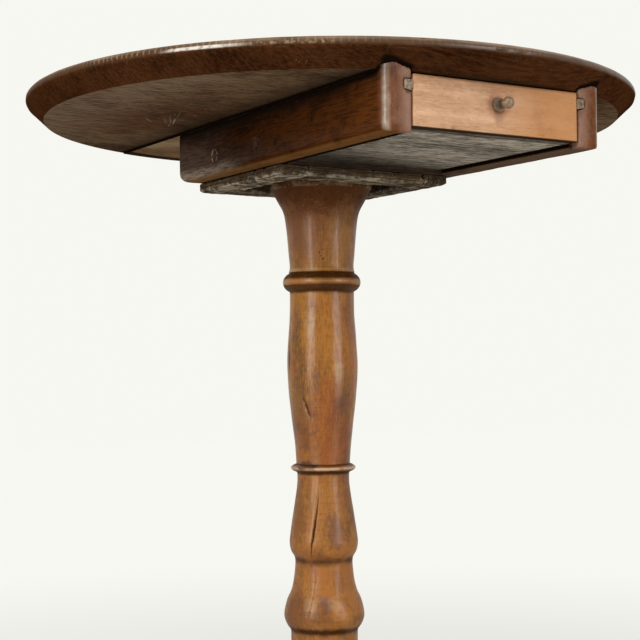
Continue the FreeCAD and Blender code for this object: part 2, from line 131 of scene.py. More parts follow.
class Group(Bench):
    """A shader group that is built once: a place and numbers go in, masks come out."""

    def __init__(self, name, numbers, masks):
        super().__init__(bpy.data.node_groups.new(name, "ShaderNodeTree"))
        new_socket = self.tree.interface.new_socket
        new_socket(name="Vector", in_out="INPUT", socket_type="NodeSocketVector")
        for label, value in numbers.items():
            new_socket(name=label, in_out="INPUT", socket_type="NodeSocketFloat").default_value = value
        for label in masks:
            new_socket(name=label, in_out="OUTPUT", socket_type="NodeSocketFloat")
        self.given = self.tree.nodes.new("NodeGroupInput").outputs
        self.result = self.tree.nodes.new("NodeGroupOutput").inputs
        self.place = self.given["Vector"]

    def give(self, label, mask):
        self.tree.links.new(mask, self.result[label])


def make_grain_group():
    """Solid wood pattern with its grain along X: year rings, streaks, open pores, cloudy stain."""
    group = Group("wood_grain", {"Ring Spacing": 0.004, "Streak Width": 0.003},
                  ("Rings", "Streaks", "Pores", "Stain", "Flecks"))
    drawn_out = group.scaled((0.08, 1, 1))
    wander = group.put("TexNoise", {"Vector": drawn_out, "Scale": 17.0, "Detail": 2.0}).outputs[1]
    centred = group.vector("SUBTRACT", wander, (0.5, 0.5, 0.5))[0]
    wavy = group.vector("MULTIPLY_ADD", centred, (0.022, 0.022, 0.022), drawn_out)[0]
    ring_scale = group.calc("DIVIDE", 0.314, group.given["Ring Spacing"])
    rings = group.put("TexWave", {"Vector": wavy, "Scale": ring_scale, "Distortion": 1.6, "Detail": 2.0,
                                  "Detail Scale": 0.6}, wave_type="RINGS", rings_direction="X").outputs[1]
    streak_scale = group.calc("DIVIDE", 1.0, group.given["Streak Width"])
    pore_scale = group.calc("MULTIPLY", streak_scale, 4.2)
    group.give("Rings", group.calc("POWER", rings, 1.7))
    group.give("Streaks", group.patches(streak_scale, 0.34, 0.66, 5.0, 0.62, place=wavy))
    group.give("Pores", group.patches(pore_scale, 0.6, 0.72, 2.0, 0.5, place=group.scaled((0.03, 1, 1))))
    group.give("Stain", group.patches(13.0, 0.36, 0.64, 4.0, 0.6, place=group.scaled((0.45, 1, 1))))
    group.give("Flecks", group.patches(620.0, 0.36, 0.64, 3.0, 0.7, place=group.scaled((0.22, 1, 1))))
    return group.tree


def make_handling_group():
    """Marks of long use: rubbed edges, fine scratches, dents and settled dirt."""
    group = Group("handling_marks", {"Edge Radius": 0.003}, ("Edges", "Scratches", "Dents", "Dirt"))
    rounded = group.put("Bevel", {"Radius": group.given["Edge Radius"]}, samples=4).outputs[0]
    facing = group.put("NewGeometry").outputs["Normal"]
    turned_away = group.step(group.vector("DOT_PRODUCT", rounded, facing)["Value"], 0.985, 0.8)
    group.give("Edges", group.mask(turned_away, group.patches(70.0, 0.38, 0.6, 5.0, 0.7, 0.15)))
    lines = []
    for angle, some_scale in ((0.6, 9.0), (-0.9, 21.0), (1.9, 33.0)):
        turned_place = group.put("VectorRotate", {"Vector": group.place, "Axis": (0.3, 0.2, 1.0),
                                                  "Angle": angle}, rotation_type="AXIS_ANGLE").outputs[0]
        thin = group.patches(34.0, 0.715, 0.74, 1.0, 0.4, place=group.scaled((1, 26, 26), turned_place))
        lines.append(group.mask(thin, group.patches(some_scale, 0.54, 0.62, 1.0, place=turned_place)))
    group.give("Scratches", group.most(*lines))
    cells = group.put("TexVoronoi", {"Vector": group.place, "Scale": 42.0}).outputs
    few = group.step(group.put("SeparateColor", {0: cells["Color"]}).outputs[0], 0.8, 0.82)
    group.give("Dents", group.mask(group.step(cells["Distance"], 0.16, 0.05), few))
    group.give("Dirt", group.patches(28.0, 0.5, 0.68, 6.0, 0.68))
    return group.tree


grain_group = make_grain_group()
handling_group = make_handling_group()
GRAIN_TURNS = {"X": (0, 0, 0), "Y": (0, 0, math.pi / 2), "Z": (0, math.pi / 2, 0)}


class Finish(Bench):
    """A wood finish in the making: colour, roughness and height, built up coat by coat."""

    def __init__(self, name, along, heart, dark, light, ring_spacing=0.004, streak_width=0.003,
                 rings=0.35, streaks=0.5, pores=0.4, stain=0.5, flecks=0.35, edge_radius=0.003):
        self.material = bpy.data.materials.new(name)
        self.material.use_nodes = True
        super().__init__(self.material.node_tree)
        self.tree.nodes.clear()
        self.place = self.put("TexCoord").outputs["Object"]
        self.x, self.y, self.z = self.put("SeparateXYZ", {0: self.place}).outputs
        self.across = self.apart(self.x, 0.0)
        self.along = self.put("Mapping", {"Vector": self.place, "Location": heart,
                                          "Rotation": GRAIN_TURNS.get(along, along)}).outputs[0]
        grain = {"Vector": self.along, "Ring Spacing": ring_spacing, "Streak Width": streak_width}
        handling = {"Vector": self.place, "Edge Radius": edge_radius}
        for group, feeds in ((grain_group, grain), (handling_group, handling)):
            for mask in self.put("Group", feeds, node_tree=group).outputs:
                setattr(self, mask.name.lower(), mask)
        tone = self.calc("MULTIPLY_ADD", self.rings, rings, 0.5 - rings * 0.4)
        for mask, share in ((self.streaks, streaks), (self.flecks, flecks), (self.stain, stain)):
            tone = self.calc("MULTIPLY_ADD", self.calc("SUBTRACT", mask, 0.5), share, tone)
        self.colour = (*dark, 1.0)
        self.coat(light, tone)
        self.coat([0.35 * channel for channel in dark], self.pores, pores)
        self.height = self.calc("MULTIPLY_ADD", self.pores, -0.5 * pores, self.mask(self.streaks, 0.25))

    def coat(self, colour, *masks):
        """Lay a colour over the wood where all the masks say."""
        feeds = {0: self.mask(*masks), 6: self.colour, 7: (*colour, 1.0)}
        self.colour = self.put("Mix", feeds, data_type="RGBA").outputs[2]

    def worn(self, **marks):
        """Coats for marks of handling, in the order given, each with its strength and colour."""
        for mark, (strength, colour) in marks.items():
            self.coat(colour, getattr(self, mark), strength)

    def apart(self, value, middle):
        """How far a value lies from a middle one, to either side."""
        return self.calc("ABSOLUTE", self.calc("SUBTRACT", value, middle))

    def from_axis(self):
        """Distance from the upright axis through the middle of the top."""
        return self.calc("SQRT", self.calc("MULTIPLY_ADD", self.x, self.x, self.mask(self.y, self.y)))

    def done(self, roughness, rough=(), sunk=(), bump=0.0004, specular=0.0, polish=0.0,
             polish_roughness=0.18):
        """Make the material: each pair in rough or sunk is a mask and how much it roughens or sinks."""
        for mask, change in rough:
            roughness = self.calc("MULTIPLY_ADD", mask, change, roughness, clamp=True)
        for mask, depth in sunk:
            self.height = self.calc("MULTIPLY_ADD", mask, -depth, self.height)
        relief = self.put("Bump", {"Height": self.height, "Distance": bump, "Strength": 0.8}).outputs[0]
        shader = self.put("BsdfPrincipled", {
            "Base Color": self.colour, "Roughness": roughness, "Normal": relief, "Coat Weight": polish,
            "Specular IOR Level": specular, "Coat Roughness": polish_roughness})
        self.put("OutputMaterial", {"Surface": shader.outputs[0]})
        return self.material


def new_object(name, data):
    """A new object in the scene, at the origin."""
    made = bpy.data.objects.new(name, data)
    bpy.context.scene.collection.objects.link(made)
    return made


def add_piece(name, work, materials, replaces=(), body="table", smooth=True):
    """Turn a finished bmesh into a named piece that rides on a body."""
    mesh = bpy.data.meshes.new(name)
    work.to_mesh(mesh)
    work.free()
    if smooth:
        mesh.shade_smooth()
    for material in materials:
        mesh.materials.append(material)
    piece = new_object(name, mesh)
    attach(piece, body)
    if replaces:
        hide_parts(*replaces)
    return piece


def smooth_run(points, steps=7):
    """Points of a smooth line through a few measured ones."""
    line = []
    for number in range(len(points) - 1):
        before = points[max(number - 1, 0)]
        start, end = points[number], points[number + 1]
        after = points[min(number + 2, len(points) - 1)]
        lead, trail = (end - before) / 6, (after - start) / 6
        line += interpolate_bezier(start, start + lead, end - trail, end, steps)[:-1]
    return line + [points[-1]]


def bead_run(top, bottom, root, tip, sharpness, steps=14):
    """Bead between two heights, from its root radius out to its tip: 1 is round, more is keener."""
    line = []
    for number in range(steps + 1):
        turn = math.pi * number / steps
        height = (top + bottom) / 2 + (top - bottom) / 2 * math.cos(turn)
        line.append(Vector((root + (tip - root) * math.sin(turn) ** sharpness, 0.0, height)))
    return line


def profile(*pairs):
    """Turned outline points from pairs of height and radius in millimetres."""
    return [Vector((radius / 1000, 0.0, height / 1000)) for height, radius in pairs]


def turned(outline, steps, axis=(0, 0, 1)):
    """Spin an outline round an axis, as on the lathe."""
    work = bmesh.new()
    verts = [work.verts.new(point) for point in outline]
    edges = [work.edges.new(pair) for pair in zip(verts, verts[1:])]
    bmesh.ops.spin(work, geom=verts + edges, cent=(0, 0, 0), axis=axis, angle=2 * math.pi, steps=steps,
                   use_merge=True)
    bmesh.ops.remove_doubles(work, verts=work.verts, dist=1e-6)
    bmesh.ops.recalc_face_normals(work, faces=work.faces)
    return work


column_line = profile((725, 0), (725, 20), (675.2, 20), (675, 53.5), (672, 55.2), (668, 55.9))
column_line += smooth_run(profile((665, 55), (651, 47.5), (638, 41.2), (620, 38.2), (594, 36.0), (582, 34.9),
                                  (577, 35.3), (574.6, 36.0), (573.8, 35.6)))
column_line += bead_run(0.5735, 0.5535, 0.035, 0.0425, 1.55)
column_line += smooth_run(profile((553, 35.0), (528, 35.3), (500, 37.2), (473, 38.4), (442, 36.6),
                                  (410, 33.0), (388, 30.5), (370.5, 29.2)))
column_line += bead_run(0.3688, 0.3602, 0.0292, 0.0352, 1.75)
column_line += smooth_run(profile((358.5, 28.3), (346, 28.6), (320, 32.4), (294, 36.3), (284.5, 37.2),
                                  (276, 35.6), (266.5, 31.2), (249, 32.4), (234, 35.6), (223, 40.3),
                                  (208.5, 43.5), (199, 41.2), (192.5, 36.6)))
column_line += smooth_run(profile((190, 36.2), (174, 36.2), (165, 38.6), (160.5, 44.2)), 4)
column_line += profile((159, 45), (150, 45), (138, 45), (126, 45), (114, 45), (102, 45), (90, 45), (79, 45),
                       (78, 44.2), (78, 29))
column_line += smooth_run(profile((77, 28.6), (70, 24.5), (64.6, 15.5), (64, 12)), 3) + profile((64, 0))
turning = turned(column_line, column_steps)

# A crack goes from one height and angle to another, with its half width, depth and darkness.
front_left = math.radians(-121.1)
cracks = (
    ((0.344, -8.0), (0.268, -24.0), 0.0011, 0.004, 1.0),
    ((0.446, -39.0), (0.419, -22.0), 0.0013, 0.0035, 0.9),
    ((0.516, -70.0), (0.462, -66.0), 0.0009, 0.003, 0.8),
    ((0.257, -12.0), (0.206, -25.0), 0.0002, 0.0002, 0.3),
    ((0.33, 148.0), (0.262, 160.0), 0.0014, 0.004, 1.0),
    ((0.545, 172.0), (0.47, 166.0), 0.0008, 0.003, 0.9),
    ((0.15, 84.0), (0.082, 90.0), 0.0008, 0.0025, 0.9),
)
# Dirt and painted shade lie in the turned grooves, and the crowns are rubbed pale with a painted highlight:
# height, spread and thickness.
grooves = ((0.5706, 0.0058, 1.9), (0.5562, 0.0064, 1.9), (0.3604, 0.0036, 1.5), (0.3685, 0.0024, 0.8),
           (0.267, 0.008, 0.8), (0.194, 0.0065, 1.1), (0.161, 0.004, 0.7), (0.666, 0.005, 0.5))
crowns = ((0.5634, 0.0026, 0.8), (0.3648, 0.0016, 1.3), (0.5758, 0.0018, 1.2))


def thickest(layers, height):
    """How thick the groove dirt and painted shade, or the crown rubbing and painted highlight, is at a height
    of the column.
    """
    return max(amount * max(1.0 - abs(height - middle) / spread, 0.0) for middle, spread, amount in layers)


# The dirt attribute holds groove dirt with painted shade, and below zero the crowns' rubbing with painted
# highlight.
dirt_shade_and_sheen_layer = turning.verts.layers.float.new("dirt")
crack_layer = turning.verts.layers.float.new("crack")
column_turn = 2 * math.pi / column_steps
for vert in turning.verts:
    radius = math.hypot(vert.co.x, vert.co.y)
    if radius < tenon_side or vert.co.z > head_top:
        continue
    angle = math.atan2(vert.co.y, vert.co.x)
    height = vert.co.z
    vert[dirt_shade_and_sheen_layer] = min(thickest(grooves, height), 1.0) - thickest(crowns, height)
    out_of_round = 0.00025 * math.sin(2 * angle + 0.6) + 0.0003 * noise.noise(
        Vector((6 * math.cos(angle), 6 * math.sin(angle), height * 40)))
    for (top, top_angle), (bottom, bottom_angle), half_width, depth, darkness in cracks:
        if not bottom < height < top:
            continue
        share = (top - height) / (top - bottom)
        swell = math.sin(math.pi * share ** 1.25) ** 0.9
        wiggle = 0.012 * noise.noise(Vector((height * 160, depth * 900, 0.0)))
        centre = front_left + math.radians(top_angle + (bottom_angle - top_angle) * share) + wiggle
        off = (angle - centre + math.pi) % (2 * math.pi) - math.pi
        if abs(off) < column_turn / 2:
            angle = centre
            out_of_round -= depth * swell
            vert[crack_layer] = darkness * (0.3 + 0.7 * math.exp(-((share - 0.6) / 0.2) ** 2))
        elif abs(off) < column_turn * 1.5:
            angle = centre + math.copysign(half_width * swell / radius + 0.0002, off)
            vert[crack_layer] = 0.25 * darkness * swell
        elif -column_turn * 4.5 < off < 0.0:
            fading = 1.0 + off / (column_turn * 6.0)
            vert[crack_layer] = -0.8 * darkness * math.sin(math.pi * share) * fading
    radius += out_of_round - 0.0003
    vert.co.x = radius * math.cos(angle)
    vert.co.y = radius * math.sin(angle)
bmesh.ops.translate(turning, verts=turning.verts, vec=(0.0, column_y, 0.0))

look = Finish("old_varnish_on_column", "Z", (0.004, 0.0, 0.006), (0.07, 0.019, 0.003),
              (0.375, 0.155, 0.016), ring_spacing=0.011, streak_width=0.002, rings=0.18, streaks=0.34,
              pores=0.2, stain=0.78, flecks=0.46, edge_radius=0.0015)
look.coat((0.285, 0.074, 0.007), look.patches(9.0, 0.45, 0.62), 0.6)
small_red = look.patches(42.0, 0.5, 0.64, 4.0, 0.6)
look.coat((0.255, 0.066, 0.012), small_red, look.step(look.z, 0.52, 0.45), 0.5)
look.coat((0.07, 0.022, 0.006), look.patches(260.0, 0.52, 0.66, 4.0, 0.75), 0.3)
lower_half = look.step(look.z, 0.4, 0.33)
look.coat((0.285, 0.116, 0.04), lower_half, 0.42)
look.coat((0.125, 0.046, 0.009), look.step(look.z, 0.56, 0.6), 0.4)
dark_head = look.step(look.ragged(look.z, 0.05, 30.0, 5.0, 0.65), 0.611, 0.657)
look.coat((0.036, 0.0105, 0.0028), dark_head, 0.84)
mottled = look.patches(150.0, 0.5, 0.64, 5.0, 0.7)
look.coat((0.02, 0.0075, 0.003), look.step(look.z, 0.615, 0.65), mottled, 0.5)
look.coat((0.062, 0.02, 0.0045), look.dirt, 0.5)
# Dirt and painted shade in the grooves, then pale rubbing and painted highlight on the crowns.
uneven_dirt_shade_and_sheen = look.ragged(look.put("Attribute", attribute_name="dirt").outputs["Fac"], 0.9, 90.0, 4.0)
dirt_and_shade_in_groove = look.mask(look.step(uneven_dirt_shade_and_sheen, 0.05, 0.95), 0.85)
look.coat((0.026, 0.009, 0.003), dirt_and_shade_in_groove)
look.coat((0.42, 0.225, 0.095), look.step(uneven_dirt_shade_and_sheen, -0.15, -0.75), 0.42)
# Painted highlight on the small lip above the collar.
lip = look.between(look.z, 0.5735, 0.5748, 0.5768, 0.579)
look.coat((0.5, 0.34, 0.18), lip, look.patches(45.0, 0.44, 0.6, 4.0), 0.34)
look.worn(edges=(0.4, (0.42, 0.215, 0.075)), scratches=(0.22, (0.5, 0.3, 0.15)),
          dents=(0.55, (0.075, 0.03, 0.013)))
head_rim = look.step(look.z, 0.6615, 0.6635)
look.coat((0.3, 0.21, 0.13), head_rim, look.patches(60.0, 0.44, 0.58, 5.0, 0.7), 0.28)
# Painted highlight on the crown of the thin ring.
ring_crown = look.between(look.z, 0.3628, 0.3642, 0.3656, 0.3668)
look.coat((0.56, 0.42, 0.31), ring_crown, look.patches(50.0, 0.36, 0.56, 4.0), 0.62)
crack = look.put("Attribute", attribute_name="crack").outputs["Fac"]
look.coat((0.46, 0.235, 0.11), look.step(crack, -0.1, -0.7), 0.5)
look.coat((0.07, 0.024, 0.009), look.step(crack, 0.08, 0.3), 0.75)
look.coat((0.008, 0.004, 0.003), look.step(crack, 0.35, 0.8))

# Worm holes, dark and pale spots: height, angle, size, how far it is squeezed, strength, shade.
dark_spot, pale_spot = (0.045, 0.016, 0.0075), (0.5, 0.34, 0.19)
brown_stain, purple_stain = (0.098, 0.034, 0.011), (0.1, 0.043, 0.03)
smallest_stain = 0.003
spots = (
    (0.5935, -4.0, 0.0011, 1.0, 0.85, dark_spot), (0.59, -1.0, 0.0009, 1.0, 0.85, dark_spot),
    (0.596, 1.5, 0.0008, 1.0, 0.85, dark_spot), (0.587, 2.5, 0.0014, 1.0, 0.85, dark_spot),
    (0.468, 29.0, 0.0055, 0.5, 0.3, pale_spot), (0.52, -22.0, 0.005, 0.3, 0.3, pale_spot),
    (0.302, 20.0, 0.01, 0.5, 0.6, purple_stain), (0.223, 4.0, 0.0065, 0.8, 0.7, purple_stain),
    # The pale spot on the ball at 15 degrees is a painted highlight.
    (0.295, 46.0, 0.005, 0.5, 0.45, brown_stain), (0.224, 15.0, 0.007, 0.9, 0.26, pale_spot),
    (0.42, -52.0, 0.019, 0.4, 0.5, brown_stain), (0.315, -58.0, 0.016, 0.4, 0.5, brown_stain),
    (0.215, -50.0, 0.013, 0.6, 0.45, brown_stain), (0.545, 66.0, 0.015, 0.3, 0.45, brown_stain),
    (0.223, -22.0, 0.006, 0.8, 0.25, pale_spot), (0.3676, -34.0, 0.013, 3.0, 0.75, dark_spot),
    (0.445, 44.0, 0.009, 0.35, 0.45, brown_stain), (0.61, -40.0, 0.011, 0.4, 0.4, brown_stain),
    (0.505, -50.0, 0.006, 0.5, 0.28, dark_spot), (0.245, 30.0, 0.007, 0.5, 0.35, brown_stain),
    (0.4, -160.0, 0.008, 0.4, 0.45, dark_spot), (0.5, 120.0, 0.007, 0.3, 0.4, pale_spot),
    (0.21, -140.0, 0.007, 0.8, 0.45, dark_spot),
)
uneven = look.calc("SUBTRACT", look.clouds(120.0, 5.0, 0.7), 0.5)
for height, angle, size, stretch, strength, shade in spots:
    turn = front_left + math.radians(angle)
    reach = min(column_line, key=lambda point: abs(point.z - height)).x - 0.0003
    middle = (reach * math.cos(turn), column_y + reach * math.sin(turn), height * stretch)
    away = look.vector("DISTANCE", look.scaled((1, 1, stretch)), middle)["Value"]
    if size > smallest_stain:
        away = look.calc("MULTIPLY_ADD", uneven, size * 3.0, away)
    look.coat(shade, look.step(away, size * 1.5, size * 0.5), strength)
lathe_rings = look.clouds(420.0, 2.0, place=look.scaled((0.12, 0.12, 1)))
look.coat((0.085, 0.028, 0.008), look.step(lathe_rings, 0.5, 0.68), 0.2)
dull = look.most(dark_head, look.mask(lower_half, 0.4), dirt_and_shade_in_groove, look.step(crack, 0.05, 0.2))
column_finish = look.done(
    0.22, rough=((look.stain, 0.1), (look.dirt, 0.16), (dirt_and_shade_in_groove, 0.22)),
    sunk=((lathe_rings, -0.35), (look.dents, 0.8), (look.scratches, 0.3)), bump=0.0003,
    polish=look.calc("MULTIPLY_ADD", dull, -0.6, 0.7, clamp=True), polish_roughness=0.31)
add_piece("turned_column", turning, [column_finish], replaces=("column",))

# ------------------------------------------------------------------ legs
# Three snake legs sawn from plank of the same wood, their edges rounded over by hand, each with
# its pad foot. A dovetail tongue holds each one in the drum of the column. Feet are worn pale.
leg_turns = {"leg_front": -90.0, "leg_rear_right": 30.0, "leg_rear_left": 150.0}
leg_slope = math.radians(22)


def worn_copy(node, voxel, smoothing=3):
    """A merged copy of a made part, with its arrises softened as by a scraper and long wear."""
    copy = new_object(node + "_copy", nodes[node].data.copy())
    merge = bmesh.new()
    merge.from_mesh(copy.data)
    bmesh.ops.remove_doubles(merge, verts=merge.verts, dist=1e-6)
    merge.to_mesh(copy.data)
    merge.free()
    remesh = copy.modifiers.new("remesh", "REMESH")
    remesh.mode = "VOXEL"
    remesh.voxel_size = voxel
    relax = copy.modifiers.new("relax", "SMOOTH")
    relax.factor = 0.5
    relax.iterations = smoothing
    shape = bpy.data.meshes.new_from_object(copy.evaluated_get(bpy.context.evaluated_depsgraph_get()))
    old = copy.data
    bpy.data.objects.remove(copy)
    bpy.data.meshes.remove(old)
    work = bmesh.new()
    work.from_mesh(shape)
    bpy.data.meshes.remove(shape)
    return work


def leg_look(leg, degrees):
    """The column's old varnish, with the grain of the plank running down one leg."""
    down_leg = Matrix.Rotation(-leg_slope, 3, "Y") @ Matrix.Rotation(-math.radians(degrees), 3, "Z")
    look = Finish("old_varnish_on_" + leg, tuple(down_leg.to_euler()), (0.0, 0.03, -0.06),
                  (0.09, 0.03, 0.006), (0.33, 0.136, 0.022), ring_spacing=0.007, streak_width=0.0022,
                  rings=0.3, streaks=0.45, pores=0.35, stain=0.6, edge_radius=0.005)
    look.worn(dirt=(0.5, (0.08, 0.03, 0.01)), edges=(0.45, (0.47, 0.25, 0.105)))
    scuffed = look.step(look.ragged(look.z, 0.03, 45.0, 5.0), 0.017, 0.005)
    look.coat((0.27, 0.185, 0.12), scuffed, 0.6)
    look.worn(scratches=(0.5, (0.55, 0.37, 0.22)), dents=(0.5, (0.06, 0.026, 0.012)))
    dull = look.most(look.dirt, scuffed)
    return look.done(0.34, rough=((look.dirt, 0.2), (scuffed, 0.3)),
                     sunk=((look.dents, 0.9), (look.scratches, 0.3)),
                     polish=look.calc("MULTIPLY_ADD", dull, -0.6, 0.75), polish_roughness=0.34)


for name, degrees in leg_turns.items():
    add_piece("snake_" + name, worn_copy(name, 0.0016, 7), [leg_look(name, degrees)],
              replaces=(name,))

# ------------------------------------------------------------------ frame under the case
# Four strips of secondary wood, butted and nailed to the head block round the column's head.
# Their outer edges are rounded, dry and rubbed pale, and small chips are gone from the arrises.
frame_rounding = 0.0065
chip_reach, chip_face = 0.0035, 0.004


def roughen(work, size, depth, seed):
    """Uneven hand-worked surface: every point moves along its normal by slow and fine noise."""
    shift = Vector((seed, 2.3 * seed, -seed))
    for vert in work.verts:
        slow = noise.noise(vert.co / size + shift)
        fine = noise.noise(vert.co / (size * 0.22) + shift)
        vert.co += vert.normal * depth * (0.7 * slow + 0.3 * fine - 0.35)


def chip_edges(work, low, high, depth, seed):
    """Knock small chips out of the edges of a board that fills a box."""
    middle = (low + high) / 2
    half = (high - low) / 2
    for vert in work.verts:
        off = vert.co - middle
        gaps = [half[axis] - abs(off[axis]) for axis in range(3)]
        bite = noise.noise(vert.co * 95 + Vector((seed, 0.0, 3.0 * seed))) - 0.22
        if sorted(gaps)[1] <= chip_reach and bite > 0:
            inward = [-math.copysign(1.0, off[axis]) if gaps[axis] < chip_face else 0.0 for axis in range(3)]
            vert.co += Vector(inward) * depth * min(bite * 3, 1.0)


def round_over(work, radius, outer_low, outer_high):
    """Round the outer lower edges of the nailed frame, as with a moulding plane."""
    for vert in work.verts:
        up = vert.co.z - outer_low.z
        for axis in (0, 1):
            for edge, outward in ((outer_low[axis], -1), (outer_high[axis], 1)):
                inside = (edge - vert.co[axis]) * outward
                reach = math.hypot(radius - inside, radius - up)
                if inside < radius and up < radius and reach > radius:
                    vert.co[axis] = edge - outward * (radius - (radius - inside) * radius / reach)
                    vert.co.z = outer_low.z + radius - (radius - up) * radius / reach
                    up = vert.co.z - outer_low.z


def frame_look(name, along, heart, dryness):
    """Dry brown wood, rubbed pale in streaks and along its lower edge."""
    look = Finish(name, along, heart, (0.026, 0.016, 0.009), (0.15, 0.108, 0.068), ring_spacing=0.0045,
                  streak_width=0.0022, streaks=0.75, pores=0.6, stain=0.6, edge_radius=0.004)
    pale = look.patches(55.0, 0.45, 0.6, 6.0, 0.72)
    look.coat((0.41, 0.35, 0.25), pale, look.streaks, dryness)
    look.worn(edges=(0.55, (0.42, 0.37, 0.28)))
    torn = look.ragged(look.z, 0.008, 130.0, 5.0)
    look.coat((0.058, 0.035, 0.0185), look.step(torn, 0.667, 0.67), 0.78)
    look.coat((0.4, 0.345, 0.255), look.step(torn, 0.6685, 0.6655), pale, dryness)
    look.coat((0.016, 0.01, 0.0065), look.step(look.rings, 0.62, 0.9), 0.65)
    look.worn(dirt=(0.75, (0.03, 0.019, 0.012)), scratches=(0.6, (0.46, 0.4, 0.3)))
    return look.done(0.62, rough=((look.dirt, 0.2),), sunk=((look.dirt, 0.5), (look.scratches, 0.5)),
                     bump=0.0009)


strip_finish = {
    "Y": frame_look("dry_frame_wood_sides", "Y", (0.02, 0.08, -0.6), 0.8),
    "X": frame_look("dry_frame_wood_ends", "X", (0.0, 0.07, -0.62), 0.5),
}
frame_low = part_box("frame_strip_left")[0]
frame_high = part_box("frame_strip_right")[1]
for seed, (side, along) in enumerate((("left", "Y"), ("right", "Y"), ("front", "X"), ("rear", "X"))):
    strip = worn_copy("frame_strip_" + side, 0.0011)
    low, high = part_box("frame_strip_" + side)
    round_over(strip, frame_rounding, frame_low, frame_high)
    strip.normal_update()
    roughen(strip, 0.012, 0.0007, 3.1 + seed)
    chip_edges(strip, low, high, 0.0016, 5.7 + seed)
    add_piece("frame_board_" + side, strip, [strip_finish[along]],
              replaces=("frame_strip_" + side,))

# ------------------------------------------------------------------ iron of the table
# Hand-made nails with flat heads hold the frame, and old screws hold the bearers to the top.
# All of it is dark rusted iron.


def dress(names, finish):
    """Give made parts that stay as they are their finish."""
    for name in names:
        nodes[name].data.materials.clear()
        nodes[name].data.materials.append(finish)


look = Finish("rusted_iron", "X", (0, 0, 0), (0.04, 0.026, 0.02), (0.105, 0.062, 0.042),
              ring_spacing=0.01, streak_width=0.0011, rings=0.0, streaks=0.8, pores=0.5, stain=0.7)
look.worn(dirt=(0.7, (0.19, 0.075, 0.03)))
dress(("frame_nails", "bearer_screws", "drawer_side_pins", "drawer_bottom_pins", "drawer_runner_pins"),
      look.done(0.62, rough=((look.dirt, 0.25),), bump=0.0003, specular=0.5))

# ------------------------------------------------------------------ head block
# A plain block of rough secondary wood between the bearers. It takes the tenon of the column,
# which is wedged from above, and a peg through each bearer end holds the block.
# Its colours are darkened to paint the deep shade round the head block.
look = Finish("block_wood_darkened_as_shade", "X", (0.0, 0.05, -0.58), (0.02, 0.011, 0.0065), (0.07, 0.04, 0.023),
              ring_spacing=0.006, rings=0.4, streaks=0.7, pores=0.6, stain=0.6)
look.worn(dirt=(0.6, (0.028, 0.017, 0.011)))
dress(("head_block", "column_wedge", "top_seam_dowels"),
      look.done(0.72, rough=((look.pores, 0.15),), bump=0.0007, specular=0.12))

# ------------------------------------------------------------------ bearers
# Two thick rails under the top, stained dark red-brown. The outer edges are rounded, the front
# ends are scribed to the bevel of the top, and each has a groove inside for the drawer runner.
# Years of hands have rubbed the front corner, which is also painted pale as its highlight, and the
# rear of the lower edge is dry and grey. Shadow is painted under the top and beside the drawer.
bearer_outside = 0.1215
bearer_under = 0.6751
bearer_end_top = 0.7345
peg_height = 0.695
corner_wear_and_highlight_x, corner_wear_and_highlight_y = 0.1192, -0.2855
# The underside of the top is flat out to this radius, and its bevel rises from there.
flat_radius, bevel_slope = 0.3, 0.933


